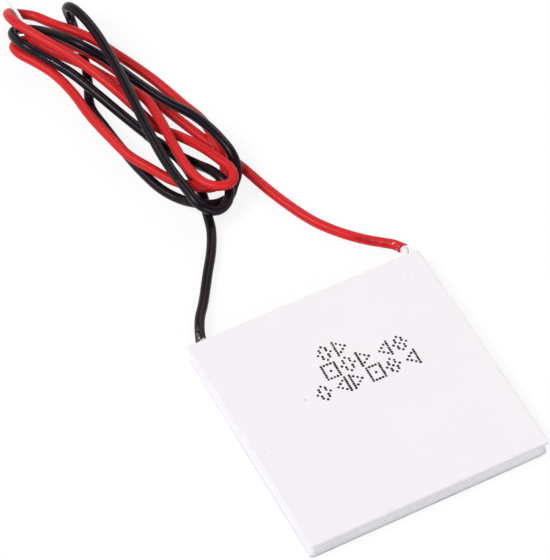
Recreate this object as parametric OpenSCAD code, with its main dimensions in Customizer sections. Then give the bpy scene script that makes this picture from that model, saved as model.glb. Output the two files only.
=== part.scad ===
// Thermoelectric generator module: two square ceramic plates with a grid of
// semiconductor legs between them, sealed at the rim, with two looped leads.
// Origin at the bottom centre of the lower plate, leads leave towards +Y.

/* [Plates] */
// Width and depth of each ceramic plate
plate_w = 40; // [38:0.5:42]
// Thickness of each ceramic plate
plate_t = 0.7; // [0.5:0.05:1]
// Corner radius of each ceramic plate
plate_r = 0.3; // [0.1:0.1:0.8]

/* [Thermocouples] */
// Leg positions along each side of the grid, an even number
grid_n = 16; // [10:2:16]
// Width of each semiconductor leg
leg_w = 1.4; // [1:0.1:1.5]
// Height of each semiconductor leg
leg_h = 1.2; // [0.9:0.1:1.6]
// Width of each copper tab
tab_w = 1.6; // [1.5:0.1:1.8]
// Thickness of each copper tab
tab_t = 0.3; // [0.2:0.05:0.4]
// Gap from the outermost tabs to the plate edge
tab_margin = 1.2; // [1:0.1:1.6]

/* [Sealant] */
// How far the sealant bead sits back from the plate edge
seal_recess = 0.3; // [0.1:0.1:0.5]
// Gap between the sealant bead and the outermost tabs
seal_gap = 0.1; // [0.05:0.05:0.2]
// Outer corner radius of the sealant bead
seal_r = 1.2; // [0.6:0.1:1.6]

/* [Leads] */
// Outside diameter of each lead
lead_d = 1.6; // [1.2:0.1:1.6]
// Diameter of each stripped conductor
core_d = 0.76; // [0.5:0.02:0.8]
// Gap from the plate edge to the start of the insulation
lead_standoff = 0.5; // [0.3:0.1:0.8]
// Room between leads that cross
lead_room = 0.1; // [0.1:0.05:0.2]
// Length of the stripped tip on the red lead
red_tip_l = 8; // [4:0.5:9]
// Length of the stripped tip on the black lead
black_tip_l = 4; // [3:0.5:4]

/* [Hidden] */
$fn = 48;

// Levels of the stack, from the bottom face up
lower_tab_z = plate_t;
leg_z = lower_tab_z + tab_t;
upper_tab_z = leg_z + leg_h;
upper_plate_z = upper_tab_z + tab_t;
inner_h = upper_plate_z - plate_t;

// The grid, and the rim that is left round it
half_w = plate_w / 2;
pitch = (plate_w - 2 * tab_margin - tab_w) / (grid_n - 1);
field_w = (grid_n - 1) * pitch + tab_w;
seal_outer_w = plate_w - 2 * seal_recess;
seal_inner_w = field_w + 2 * seal_gap;
last_place = grid_n * grid_n - 1;

// Leads leave over the two back corner places of the grid
lead_x = (grid_n - 1) / 2 * pitch;
lead_y = half_w + lead_standoff;
solder_film = 0.06;
solder_rim = 0.1;
lead_z = leg_z + solder_film + core_d / 2;
solder_d = tab_w - 2 * solder_rim;
solder_top_d = core_d + 2 * solder_rim;
solder_h = core_d + 3 * solder_film;

// The dab of sealant on each lead stands clear of the lower plate
seal_y = half_w - seal_recess;
dab_play = 0.03;
dab_d = 2 * (lead_z - plate_t - dab_play);
core_fit = 0.02;
cut = 1;

// Sides of a lead's tube, and the turn in degrees that gets a ring between two route points
lead_sides = 8;
fine_turn = 32;

// One lift is the height that a lead climbs to lie across another
lift = lead_d + lead_room;
lead_straight = 1.2;

// Route points: across from the centre line, out from the plate edge, height in lifts
RED_ROUTE = [
    // Out along the table and under the hank
    [17.5, 4, 0.7], [15, 6.5, 0.5], [12.5, 9, 0.5], [9.5, 13, 0.5], [7, 18.5, 0.5],
    [5.5, 23, 0.5], [4, 28.5, 0.5], [2, 34, 0.5], [-0.5, 41.5, 0.5], [-3.5, 50.5, 0.55],
    [-6, 57, 0.9], [-8.5, 60.5, 1.6], [-11, 64.5, 0.85], [-13, 66, 0.5], [-14.5, 67.5, 0.5],
    // Lower left fold and the front run back
    [-16, 68, 0.6], [-17.5, 67.5, 0.85], [-18, 65, 1.4], [-16.5, 62, 1.45], [-15, 59, 1.3],
    [-14, 53.5, 1.4], [-13.5, 47.5, 1.55], [-12.5, 42, 1.6], [-11.5, 37.5, 1.6],
    [-9.5, 33.5, 1.55], [-7.5, 30, 1.45], [-5, 27, 1.65],
    // Hidden right fold and the rear run
    [-2, 26, 1.25], [0, 27, 1.2], [1.5, 30, 1.4], [2, 34.5, 1.55], [2.5, 39, 1],
    [1.5, 44, 0.55], [-0.5, 51, 0.55], [-3.5, 57.5, 0.95], [-6.5, 62.5, 1.55],
    [-8.5, 65, 1.7], [-10.5, 69, 1], [-12, 72, 0.6],
    // Upper left fold and the run on top
    [-14, 73.5, 0.6], [-15.5, 73.5, 1.2], [-16.5, 71.5, 2.3], [-16.5, 68.5, 3.1],
    [-14.5, 64, 3.15], [-11.5, 58.5, 2.95], [-9.5, 53.5, 2.8], [-8, 49.5, 2.5], [-7, 47, 2.1],
    [-6, 44.5, 1.65], [-5, 41, 1.45], [-2.5, 37, 1.6], [-1, 32.5, 2.5], [0, 28, 3.15],
    // Upper right fold and the last run to the free end
    [0.5, 25.5, 3.25], [-0.5, 23.5, 3.25], [-2.5, 23.5, 3.2], [-4, 25, 3.05], [-5, 28.5, 2.95],
    [-5, 34, 2.9], [-4.5, 40.5, 2.7], [-4.5, 46, 2.3], [-6, 49.5, 2.05], [-7.5, 52.5, 1.85],
    [-10, 57, 2], [-13, 62, 1.75], [-14.5, 64.5, 1.9], [-15, 65.5, 2.1], [-15, 67.5, 2.1]
];
BLACK_ROUTE = [
    // Out along the table and through the hank
    [-16, 3.5, 0.7], [-13.5, 7.5, 0.5], [-10.5, 12, 0.5], [-7.5, 16.5, 0.5], [-6, 19.5, 0.5],
    [-5, 23, 0.5], [-4, 26.5, 0.5], [-4, 29, 0.65], [-4.5, 33, 1.35], [-6, 37, 1.5],
    [-8.5, 45, 1.4], [-10.5, 51, 1.65], [-12.5, 56.5, 1.95], [-15.5, 61.5, 2.4],
    // Left fold and the rear run
    [-17, 64, 2.65], [-17.5, 66, 2.35], [-17, 69, 1.6], [-15.5, 70, 0.95], [-13.5, 69, 0.85],
    [-11, 64.5, 1.95], [-9, 60, 2.7], [-6.5, 56.5, 2.2], [-4, 51, 1.65], [-1.5, 45, 1.65],
    [1, 38.5, 2.25], [2, 33, 2.65], [2.5, 29.5, 2.45],
    // Inner right fold and the front run
    [2.5, 28, 2], [2, 26.5, 1.3], [1, 25.5, 0.75], [-0.5, 24, 0.5], [-2, 23.5, 0.7],
    [-4.5, 23, 1.45], [-6.5, 24.5, 1.45], [-7.5, 26.5, 0.85], [-9, 29.5, 0.55], [-10.5, 35, 0.5],
    [-11.5, 40, 0.5], [-12, 45.5, 0.5], [-11.5, 50.5, 0.5], [-10, 55, 0.5], [-8.5, 60, 0.55],
    [-7.5, 65, 0.55],
    // Raised loop and the run across the top
    [-7, 68.5, 1], [-7.5, 68.5, 2.35], [-7.5, 67, 3.55], [-7, 64, 4.1], [-6.5, 60, 4.1],
    [-6.5, 54, 4], [-7, 45.5, 3.75], [-7.5, 38, 3.3], [-7.5, 31, 2.8], [-7, 25.5, 2.7],
    // Outer right fold and the last run to the free end
    [-6.5, 22.5, 2.45], [-4.5, 21, 1.85], [-2.5, 21.5, 1.65], [-1, 23, 1.65], [-0.5, 24, 2.05],
    [-1, 26, 2.3], [-1.5, 29, 1.7], [-2, 31.5, 0.8], [-4.5, 36.5, 0.5], [-5.5, 39, 0.5],
    [-6.5, 41, 0.5], [-6.5, 42.5, 0.5]
];

// Places are numbered in one winding path that starts and ends at the two back corners
function place_column(s) = floor(s / grid_n);
function place_row(s) = place_column(s) % 2 == 0 ? grid_n - 1 - s % grid_n : s % grid_n;
function grid_at(i) = (i - (grid_n - 1) / 2) * pitch;
function place_xy(s) = [grid_at(place_column(s)), grid_at(place_row(s))];

// A lead's path starts straight out of the module and then follows its route
function lead_path(side, route) = concat(
    [[side * lead_x, lead_y, lead_z], [side * lead_x, lead_y + lead_straight, lead_z]],
    [for (p = route) [p.x, half_w + p.y, p.z * lift]]
);

// Directions of a smooth curve through the points
function steps(points) = [for (i = [1:len(points) - 1]) points[i] - points[i - 1]];
function blend(a, b) = (a / norm(a) * norm(b) + b / norm(b) * norm(a)) / (norm(a) + norm(b));
function directions(points) =
    let (d = steps(points), last = len(d) - 1)
    concat(
        [d[0] / norm(d[0])],
        [for (i = [1:last]) blend(d[i - 1], d[i])],
        [d[last] / norm(d[last])]
    );

// Point at fraction t of the curve from a to b, with directions u and v there
function curve_point(a, b, u, v, t) =
    let (h = norm(b - a))
    a * (2 * t ^ 3 - 3 * t ^ 2 + 1) + u * h * (t ^ 3 - 2 * t ^ 2 + t)
    + b * (3 * t ^ 2 - 2 * t ^ 3) + v * h * (t ^ 3 - t ^ 2);
function turn(u, v) = acos(min(1, u * v / (norm(u) * norm(v))));

// Ring centres at the route points, with one more between two points in a tight fold
function ring_centres(points) =
    let (d = directions(points), last = len(points) - 1)
    concat(
        [for (i = [0:last - 1])
            let (parts = turn(d[i], d[i + 1]) > fine_turn ? 2 : 1)
            for (k = [0:parts - 1])
                curve_point(points[i], points[i + 1], d[i], d[i + 1], k / parts)],
        [points[last]]
    );

// Side vectors that turn as little as they can from ring to ring
function square_to(v, axis) = let (w = v - axis * (v * axis)) w / norm(w);
function side_vectors(axes) = [
    for (i = 0, v = square_to([0, 0, 1], axes[0]); i < len(axes);
        i = i + 1, v = i < len(axes) ? square_to(v, axes[i]) : v) v
];
function tube_points(points, d) =
    let (
        centres = ring_centres(points),
        axes = [for (v = directions(centres)) v / norm(v)],
        sides = side_vectors(axes)
    )
    [for (i = [0:len(centres) - 1], k = [0:lead_sides - 1])
        let (a = 360 * k / lead_sides)
        centres[i] + d / 2 * (sides[i] * cos(a) + cross(axes[i], sides[i]) * sin(a))];

// Triangles between ring i and the next, and the two end caps
function tube_faces(rings) = concat(
    [[for (k = [0:lead_sides - 1]) k]],
    [for (i = [0:rings - 2], k = [0:lead_sides - 1], half = [0, 1])
        let (
            a = i * lead_sides + k,
            b = i * lead_sides + (k + 1) % lead_sides
        )
        half == 0 ? [a, a + lead_sides, b] : [b, a + lead_sides, b + lead_sides]],
    [[for (k = [lead_sides - 1:-1:0]) (rings - 1) * lead_sides + k]]
);

// Square with exact round corners
module round_square(w, r) {
    square([w, w - 2 * r], center = true);
    square([w - 2 * r, w], center = true);
    for (x = [-1, 1], y = [-1, 1])
        translate([x * (w / 2 - r), y * (w / 2 - r)]) circle(r);
}

// Rod along +Y from a point
module rod_y(from, d, length) {
    translate(from) rotate([-90, 0, 0]) cylinder(d = d, h = length);
}

module ceramic_plate(z) {
    translate([0, 0, z]) linear_extrude(plate_t) round_square(plate_w, plate_r);
}

// Flat tab over two neighbouring places
module copper_tab(s, z) {
    a = place_xy(s);
    b = place_xy(s + 1);
    size = [abs(b.x - a.x) + tab_w, abs(b.y - a.y) + tab_w, tab_t];
    translate([(a.x + b.x - size.x) / 2, (a.y + b.y - size.y) / 2, z]) cube(size);
}

module legs(first) {
    for (s = [first:2:last_place - 1])
        translate([place_xy(s).x - leg_w / 2, place_xy(s).y - leg_w / 2, leg_z])
            cube([leg_w, leg_w, leg_h]);
}

module solder_joint(side) {
    difference() {
        translate([side * lead_x, lead_x, leg_z])
            cylinder(d1 = solder_d, d2 = solder_top_d, h = solder_h);
        rod_y([side * lead_x, lead_x - tab_w, lead_z], core_d, 2 * tab_w);
    }
}

module stripped_end(side) {
    start_y = lead_x - solder_d / 2;
    rod_y([side * lead_x, start_y, lead_z], core_d, lead_y - start_y);
}

// Dab of sealant round the conductor where it leaves the bead
module lead_sealant(side) {
    difference() {
        rod_y([side * lead_x, seal_y, lead_z], dab_d, lead_y - seal_y);
        rod_y([side * lead_x, seal_y - cut, lead_z], core_d + core_fit, lead_y - seal_y + 2 * cut);
    }
}

module lead_tube(side, route) {
    path = lead_path(side, route);
    points = tube_points(path, lead_d);
    polyhedron(points, tube_faces(len(points) / lead_sides));
}

module lead_tip(side, route, length) {
    path = lead_path(side, route);
    rod_y(path[len(path) - 1], core_d, length);
}

module lower_ceramic_plate() { color("whitesmoke") ceramic_plate(0); }
module upper_ceramic_plate() { color("ghostwhite") ceramic_plate(upper_plate_z); }

module edge_sealant() {
    color("white") difference() {
        translate([0, 0, plate_t]) linear_extrude(inner_h) difference() {
            round_square(seal_outer_w, seal_r);
            square(seal_inner_w, center = true);
        }
        for (side = [-1, 1])
            rod_y([side * lead_x, lead_x, lead_z], core_d + core_fit, 2 * tab_w);
    }
}

module lower_copper_tabs() {
    color("peru") for (s = [2:2:last_place - 3]) copper_tab(s, lower_tab_z);
}
module upper_copper_tabs() {
    color("peru") for (s = [1:2:last_place - 2]) copper_tab(s, upper_tab_z);
}
module p_type_legs() { color("dimgray") legs(1); }
module n_type_legs() { color("slategray") legs(2); }

module black_terminal_tab() { color("peru") copper_tab(0, lower_tab_z); }
module red_terminal_tab() { color("peru") copper_tab(last_place - 1, lower_tab_z); }
module black_solder_joint() { color("silver") solder_joint(-1); }
module red_solder_joint() { color("silver") solder_joint(1); }
module black_lead_stripped_end() { color("lightgray") stripped_end(-1); }
module red_lead_stripped_end() { color("lightgray") stripped_end(1); }
module black_lead_sealant() { color("white") lead_sealant(-1); }
module red_lead_sealant() { color("white") lead_sealant(1); }
module black_lead_insulation() { color([0.1, 0.1, 0.11]) lead_tube(-1, BLACK_ROUTE); }
module red_lead_insulation() { color([0.8, 0.08, 0.1]) lead_tube(1, RED_ROUTE); }
module black_lead_tip() { color("lightgray") lead_tip(-1, BLACK_ROUTE, black_tip_l); }
module red_lead_tip() { color("lightgray") lead_tip(1, RED_ROUTE, red_tip_l); }

lower_ceramic_plate();
upper_ceramic_plate();
edge_sealant();
lower_copper_tabs();
upper_copper_tabs();
p_type_legs();
n_type_legs();
black_terminal_tab();
red_terminal_tab();
black_solder_joint();
red_solder_joint();
black_lead_stripped_end();
red_lead_stripped_end();
black_lead_sealant();
red_lead_sealant();
black_lead_insulation();
red_lead_insulation();
black_lead_tip();
red_lead_tip();
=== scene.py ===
# Thermoelectric generator module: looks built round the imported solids, in metres.
import math

import bmesh
import bpy
from mathutils import Matrix, Vector, noise


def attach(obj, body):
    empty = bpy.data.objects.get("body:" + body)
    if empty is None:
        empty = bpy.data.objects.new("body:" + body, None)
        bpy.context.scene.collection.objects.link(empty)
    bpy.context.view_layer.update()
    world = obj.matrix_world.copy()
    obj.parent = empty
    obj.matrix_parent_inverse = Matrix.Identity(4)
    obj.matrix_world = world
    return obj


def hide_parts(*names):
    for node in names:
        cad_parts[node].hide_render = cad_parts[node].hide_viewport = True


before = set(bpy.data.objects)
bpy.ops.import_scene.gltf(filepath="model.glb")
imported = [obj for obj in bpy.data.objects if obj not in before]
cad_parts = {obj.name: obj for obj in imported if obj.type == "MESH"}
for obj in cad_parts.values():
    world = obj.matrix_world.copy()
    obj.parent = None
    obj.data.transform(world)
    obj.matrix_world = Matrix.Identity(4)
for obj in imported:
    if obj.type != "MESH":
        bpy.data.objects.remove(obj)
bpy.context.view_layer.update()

MM = 0.001

# Sizes of the module, in millimetres, as in the solids
PLATE_HALF = 20.0
PLATE_T = 0.7
PLATE_CORNER = 0.3
UPPER_Z = 2.5
TOP_Z = 3.2
SEAL_HALF = 19.7
SEAL_INNER = 18.9
SEAL_CORNER = 0.4

# Sizes of the leads, in millimetres
LEAD_R = 0.8
BORE_R = 0.46
BORE_DEPTH = 1.3
MOUTH_R = 0.71
LEAD_X = 18.0
LEAD_Z = 1.44
LIFT = 1.7
RED_TIP = 8.0
BLACK_TIP = 1.7
STRIPPED_FROM = 17.3
STRIPPED_TO = 20.5
TEAR_REACH = 2.0

# Route points: across, out from the plate edge, height in lifts
RED_ROUTE = [
    (18.6, 2.5, 0.85), (18, 3.5, 0.8), (16.7, 4.8, 0.7), (15, 6.5, 0.5), (12.5, 9, 0.5),
    (9.5, 13, 0.5), (7, 18.5, 0.5), (5.5, 23, 0.5), (4, 28.5, 0.5), (2, 34, 0.5),
    (-0.5, 41.5, 0.5), (-3.5, 50.5, 0.55),
    (-6, 57, 0.9), (-8.5, 60.5, 1.6), (-11, 64.5, 0.85), (-13, 66, 0.5), (-14.5, 67.5, 0.5),
    (-16, 68, 0.6), (-17.5, 67.5, 0.85), (-18, 65, 1.4), (-16.5, 62, 1.45), (-14.9, 59, 1.3),
    (-13.75, 53.6, 1.4), (-13.4, 47.5, 1.55), (-12.5, 42, 1.6), (-11.5, 37.5, 1.6),
    (-9.5, 33.5, 1.55), (-7.5, 30, 1.45), (-5, 27, 1.65),
    (-2, 26, 1.25), (0, 27, 1.2), (1.5, 30, 1.4), (2, 34.5, 1.55), (2.5, 39, 1),
    (1.5, 44, 0.55), (-0.5, 51, 0.55), (-3.5, 57.5, 0.95), (-6.5, 62.5, 1.55),
    (-8.5, 65, 1.7), (-10.5, 69, 1), (-12, 72, 0.6),
    (-14, 73.5, 0.6), (-15.5, 73.5, 1.2), (-16.5, 71.5, 2.3), (-16.5, 68.5, 3.1),
    (-14.5, 64, 3.15), (-11.5, 58.5, 2.95), (-9.5, 53.5, 2.8), (-8, 49.5, 2.5), (-7, 47, 2.1),
    (-6, 44.5, 1.65), (-5, 41, 1.45), (-2.5, 37, 1.6), (-1, 32.5, 2.5), (0.05, 28, 3.15),
    (0.7, 25.3, 3.25), (-0.3, 23.3, 3.25), (-2.5, 23.5, 3.2), (-4, 25, 3.05), (-5, 28.5, 2.95),
    (-5, 34, 2.9), (-4.5, 40.5, 2.7), (-4.5, 46, 2.3), (-6, 49.5, 2.05), (-7.5, 52.5, 1.85),
    (-10, 57, 2), (-13, 62, 1.75), (-14.5, 64.5, 1.9), (-15, 65.5, 2.1), (-15, 67.5, 2.1),
]
BLACK_ROUTE = [
    (-17.05, 1.4, 0.88), (-16.25, 3.3, 0.82), (-15.4, 4.9, 0.7), (-13.5, 7.5, 0.5),
    (-10.5, 12, 0.5), (-7.5, 16.5, 0.5), (-6, 19.5, 0.5), (-5, 23, 0.5), (-4, 26.5, 0.5),
    (-4, 29, 0.65), (-4.5, 33, 1.35), (-6, 37, 1.5),
    (-8.5, 45, 1.4), (-10.5, 51, 1.65), (-12.5, 56.5, 1.95), (-15.5, 61.5, 2.4),
    (-17, 64, 2.65), (-17.5, 66, 2.35), (-17, 69, 1.6), (-15.5, 70, 0.95), (-13.5, 69, 0.85),
    (-11, 64.5, 1.95), (-9, 60, 2.7), (-6.5, 56.5, 2.2), (-4, 51, 1.65), (-1.5, 45, 1.65),
    (1.15, 38.6, 2.25), (2.25, 33, 2.65), (2.7, 29.5, 2.45),
    (2.7, 28, 2), (2.15, 26.45, 1.3), (1, 25.5, 0.75), (-0.5, 24, 0.5), (-2, 23.5, 0.7),
    (-4.5, 23, 1.45), (-6.5, 24.5, 1.45), (-7.5, 26.5, 0.85), (-9, 29.5, 0.55), (-10.5, 35, 0.5),
    (-11.2, 40, 0.5), (-11.7, 45.5, 0.5), (-11.95, 50.5, 0.5), (-10.2, 55, 0.5), (-8.5, 60, 0.55),
    (-7.5, 65, 0.55),
    (-7, 68.5, 1), (-7.5, 68.5, 2.35), (-7.5, 67, 3.55), (-7, 64, 4.1), (-6.5, 60, 4.1),
    (-6.5, 54, 4), (-7, 45.5, 3.75), (-7.5, 38, 3.3), (-7.5, 31, 2.8), (-7, 25.5, 2.7),
    (-6.5, 22.5, 2.45), (-4.5, 21, 1.85), (-2.5, 21.5, 1.65), (-1, 23, 1.65), (-0.5, 24, 2.05),
    (-1, 26, 2.3), (-1.5, 29, 1.7), (-2, 31.5, 0.8), (-4.5, 36.5, 0.5), (-5.5, 39, 0.5),
    (-6.5, 41, 0.5), (-6.5, 42.5, 0.5),
]


# Small helpers for shader and geometry trees
def put(tree, kind, **settings):
    node = tree.nodes.new(kind)
    for name, value in settings.items():
        setattr(node, name, value)
    return node


def feed(tree, node, **values):
    """Sets or links a node's inputs; names use _ for spaces, or in3 for the fourth input."""
    for name, value in values.items():
        if name.startswith("in") and name[2:].isdigit():
            socket = node.inputs[int(name[2:])]
        else:
            socket = node.inputs[name.replace("_", " ")]
        if isinstance(value, bpy.types.NodeSocket):
            tree.links.new(value, socket)
        else:
            socket.default_value = value
    return node


def maths(tree, operation, a, b=0.0):
    node = put(tree, "ShaderNodeMath", operation=operation)
    return feed(tree, node, in0=a, in1=b).outputs[0]


def spread(tree, value, low, high, to_low, to_high):
    node = put(tree, "ShaderNodeMapRange")
    return feed(tree, node, in0=value, in1=low, in2=high, in3=to_low, in4=to_high).outputs[0]


def blend_colours(tree, factor, first, second):
    node = put(tree, "ShaderNodeMix", data_type="RGBA")
    return feed(tree, node, in0=factor, in6=first, in7=second).outputs[2]


def noise_value(tree, vector, scale, detail):
    node = put(tree, "ShaderNodeTexNoise")
    return feed(tree, node, Vector=vector, Scale=scale, Detail=detail).outputs[0]


def new_group(name, inputs, outputs):
    tree = bpy.data.node_groups.new(name, "ShaderNodeTree")
    for label, value in inputs:
        socket = tree.interface.new_socket(label, in_out="INPUT", socket_type="NodeSocketFloat")
        socket.default_value = value
    for label in outputs:
        tree.interface.new_socket(label, in_out="OUTPUT", socket_type="NodeSocketFloat")
    return tree, tree.nodes.new("NodeGroupInput"), tree.nodes.new("NodeGroupOutput")


# Grain of a fired or cast surface: Height for bump, Tone for slow patches
def make_grain_group():
    tree, start, end = new_group(
        "surface_grain", [("Grain Scale", 4000.0), ("Patch Scale", 90.0)], ["Height", "Tone"])
    place = put(tree, "ShaderNodeTexCoord").outputs["Object"]
    coarse = noise_value(tree, place, start.outputs["Grain Scale"], 3.0)
    finer_scale = maths(tree, "MULTIPLY", start.outputs["Grain Scale"], 3.1)
    finer = noise_value(tree, place, finer_scale, 2.0)
    height = maths(tree, "ADD", maths(tree, "MULTIPLY", coarse, 0.65), maths(tree, "MULTIPLY", finer, 0.35))
    patches = noise_value(tree, place, start.outputs["Patch Scale"], 2.0)
    tree.links.new(height, end.inputs["Height"])
    tree.links.new(spread(tree, patches, 0.3, 0.7, 0.0, 1.0), end.inputs["Tone"])
    return tree


# Sparse small dots: dust or dirt
def make_dust_group():
    tree, start, end = new_group(
        "sparse_dust", [("Scale", 1500.0), ("Dot Size", 0.12), ("Share", 0.1)], ["Mask"])
    place = put(tree, "ShaderNodeTexCoord").outputs["Object"]
    cells = feed(tree, put(tree, "ShaderNodeTexVoronoi"), Vector=place, Scale=start.outputs["Scale"])
    draw = feed(tree, put(tree, "ShaderNodeSeparateColor"), Color=cells.outputs["Color"]).outputs[0]
    picked = maths(tree, "LESS_THAN", draw, start.outputs["Share"])
    near = maths(tree, "LESS_THAN", cells.outputs["Distance"], start.outputs["Dot Size"])
    tree.links.new(maths(tree, "MULTIPLY", picked, near), end.inputs["Mask"])
    return tree


# Streaks along a lead, from its UV map: U runs along in metres, V round the lead
def make_streak_group():
    tree, start, end = new_group(
        "lead_streaks", [("Along", 60.0), ("Round", 3.0)], ["Streak", "Pebble"])
    uv = put(tree, "ShaderNodeUVMap", uv_map="lead_uv").outputs[0]
    parts = feed(tree, put(tree, "ShaderNodeSeparateXYZ"), Vector=uv)
    angle = maths(tree, "MULTIPLY", parts.outputs[1], 2 * math.pi)
    across = maths(tree, "MULTIPLY", maths(tree, "COSINE", angle), start.outputs["Round"])
    upward = maths(tree, "MULTIPLY", maths(tree, "SINE", angle), start.outputs["Round"])
    along = maths(tree, "MULTIPLY", parts.outputs[0], start.outputs["Along"])
    stretched = feed(tree, put(tree, "ShaderNodeCombineXYZ"), X=across, Y=upward, Z=along).outputs[0]
    fine_along = maths(tree, "MULTIPLY", parts.outputs[0], 2200.0)
    round_place = feed(tree, put(tree, "ShaderNodeCombineXYZ"),
                       X=maths(tree, "MULTIPLY", across, 0.7),
                       Y=maths(tree, "MULTIPLY", upward, 0.7), Z=fine_along).outputs[0]
    tree.links.new(noise_value(tree, stretched, 1.0, 3.0), end.inputs["Streak"])
    tree.links.new(noise_value(tree, round_place, 1.0, 2.0), end.inputs["Pebble"])
    return tree


GRAIN = make_grain_group()
DUST = make_dust_group()
STREAKS = make_streak_group()


def use_group(tree, group, **values):
    node = put(tree, "ShaderNodeGroup", node_tree=group)
    return feed(tree, node, **values)


def new_material(name):
    material = bpy.data.materials.new(name)
    material.use_nodes = True
    tree = material.node_tree
    return material, tree, tree.nodes["Principled BSDF"]


def bump(tree, shader, height, distance):
    node = feed(tree, put(tree, "ShaderNodeBump"), Height=height, Distance=distance, Strength=1.0)
    tree.links.new(node.outputs[0], shader.inputs["Normal"])


# Finish with grain: two close colours in patches, roughness that follows the grain
def grained(name, light, dark, rough, grain, patch, depth=0.004, metal=0.0):
    material, tree, shader = new_material(name)
    cover = use_group(tree, GRAIN, Grain_Scale=grain, Patch_Scale=patch)
    colour = blend_colours(tree, cover.outputs["Tone"], (*dark, 1), (*light, 1))
    roughness = spread(tree, cover.outputs["Height"], 0.3, 0.7, rough - 0.06, rough + 0.06)
    feed(tree, shader, Base_Color=colour, Roughness=roughness, Metallic=metal)
    bump(tree, shader, cover.outputs["Height"], depth * MM)
    return material, tree, shader, colour


# Colours of the sealant, of what covers the plates' narrow sides, of the painted shade and painted light on
# them, and of the dirt on them
SEALANT_LIGHT = (0.97, 0.95, 0.975)
SEALANT_DARK = (0.885, 0.86, 0.9)
# Painted light: lighter sealant on the left edge and towards the right
SEALANT_PAINTED_LIGHT = (0.985, 0.97, 0.99, 1)
# Painted shade in the pits of the bead
PIT_SHADE = (0.42, 0.4, 0.44, 1)
# Painted shade on the front sides, lighter along their upper edge
FRONT_SHADE_DARK = (0.82, 0.795, 0.825, 1)
FRONT_SHADE_LIGHT = (0.9, 0.88, 0.905, 1)
FRONT_TOP = (0.995, 0.975, 0.99, 1)
UPPER_SIDE = (0.925, 0.9, 0.925, 1)
# Painted contact shadow along the front foot
FOOT_PAINTED_SHADOW = (0.06, 0.055, 0.07, 1)
# Faint painted contact shadow along the left foot
LEFT_PAINTED_SHADOW = (0.27, 0.255, 0.29, 1)
FACE_DIRT = (0.5, 0.48, 0.49, 1)
# How far light goes into the sealant at the leads, in millimetres
GLOW_REACH = 1.2


# White ceramic, with sealant smeared over its narrow sides, painted shade on the front sides and painted
# shadow along the front and left foot
def make_ceramic():
    material, tree, shader, colour = grained(
        "fired_alumina", (0.905, 0.864, 0.888), (0.886, 0.85, 0.884), 0.58,
        grain=5200.0, patch=70.0, depth=0.005)
    place = put(tree, "ShaderNodeTexCoord").outputs["Object"]
    x, y, z = feed(tree, put(tree, "ShaderNodeSeparateXYZ"), Vector=place).outputs
    side = put(tree, "ShaderNodeAttribute", attribute_name="side").outputs["Fac"]
    smear = use_group(tree, GRAIN, Grain_Scale=1600.0, Patch_Scale=260.0)

    # Sealed sides, with painted shade making the front greyer, lighter along the upper edge
    front = spread(tree, y, -(PLATE_HALF - 0.04) * MM, -(PLATE_HALF - 0.5) * MM, 0.9, 0.12)
    near_top = spread(tree, z, 2.6 * MM, 2.92 * MM, 0.0, 1.0)
    on_upper = spread(tree, z, 2.3 * MM, UPPER_Z * MM, 0.0, 1.0)
    front_shade_tone = blend_colours(tree, smear.outputs["Tone"], FRONT_SHADE_DARK, FRONT_SHADE_LIGHT)
    front_shade_tone = blend_colours(tree, near_top, front_shade_tone, FRONT_TOP)
    side_tone = blend_colours(tree, on_upper, (*SEALANT_LIGHT, 1), UPPER_SIDE)
    colour = blend_colours(tree, side, colour, blend_colours(tree, front, side_tone, front_shade_tone))

    # Painted contact shadow: a dark line along the front foot, patchy and weaker to the right
    foot = maths(tree, "MULTIPLY", side, spread(tree, z, 0.16 * MM, 0.3 * MM, 1.0, 0.0))
    patchy = spread(tree, smear.outputs["Tone"], 0.0, 1.0, 1.0, 0.65)
    foot_shadow = maths(tree, "MULTIPLY", maths(tree, "MULTIPLY", foot, front), patchy)
    foot_shadow = maths(tree, "MULTIPLY", foot_shadow, spread(tree, x, 11 * MM, 19 * MM, 1.0, 0.35))
    colour = blend_colours(tree, foot_shadow, colour, FOOT_PAINTED_SHADOW)

    # Faint painted contact shadow along the left foot, weaker to the back
    left = spread(tree, x, -(PLATE_HALF - 0.06) * MM, -(PLATE_HALF - 0.3) * MM, 1.0, 0.0)
    low = maths(tree, "MULTIPLY", spread(tree, z, 0.55 * MM, 0.8 * MM, 1.0, 0.0),
                spread(tree, y, 1 * MM, 8 * MM, 0.18, 0.05))
    left_shadow = maths(tree, "MULTIPLY", side, maths(tree, "MULTIPLY", left, low))
    colour = blend_colours(tree, left_shadow, colour, LEFT_PAINTED_SHADOW)

    dirt = use_group(tree, DUST, Scale=900.0, Dot_Size=0.09, Share=0.01)
    faint = maths(tree, "MULTIPLY", dirt.outputs["Mask"], 0.3)
    feed(tree, shader, Base_Color=blend_colours(tree, faint, colour, FACE_DIRT))
    return material


# White sealant, with painted light on its left edge and towards the right; an attribute puts painted shade
# in its pits
def make_sealant(name, light, dark, glow):
    material, tree, shader, colour = grained(
        name, light, dark, 0.5, grain=1600.0, patch=750.0, depth=0.012)
    shader.inputs["Subsurface Weight"].default_value = glow
    shader.inputs["Subsurface Radius"].default_value = (1.0, 1.0, 1.0)
    shader.inputs["Subsurface Scale"].default_value = GLOW_REACH * MM
    place = put(tree, "ShaderNodeTexCoord").outputs["Object"]
    x = feed(tree, put(tree, "ShaderNodeSeparateXYZ"), Vector=place).outputs[0]
    # Painted light on the left edge and towards the right
    painted_light = maths(tree, "MAXIMUM", spread(tree, x, 6 * MM, 19.2 * MM, 0.0, 0.8),
                  spread(tree, x, -19.8 * MM, -19.4 * MM, 0.85, 0.0))
    colour = blend_colours(tree, painted_light, colour, SEALANT_PAINTED_LIGHT)
    soil_and_shade = put(tree, "ShaderNodeAttribute", attribute_name="soil_and_shade").outputs["Fac"]
    feed(tree, shader, Base_Color=blend_colours(tree, soil_and_shade, colour, PIT_SHADE))
    return material
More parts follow.
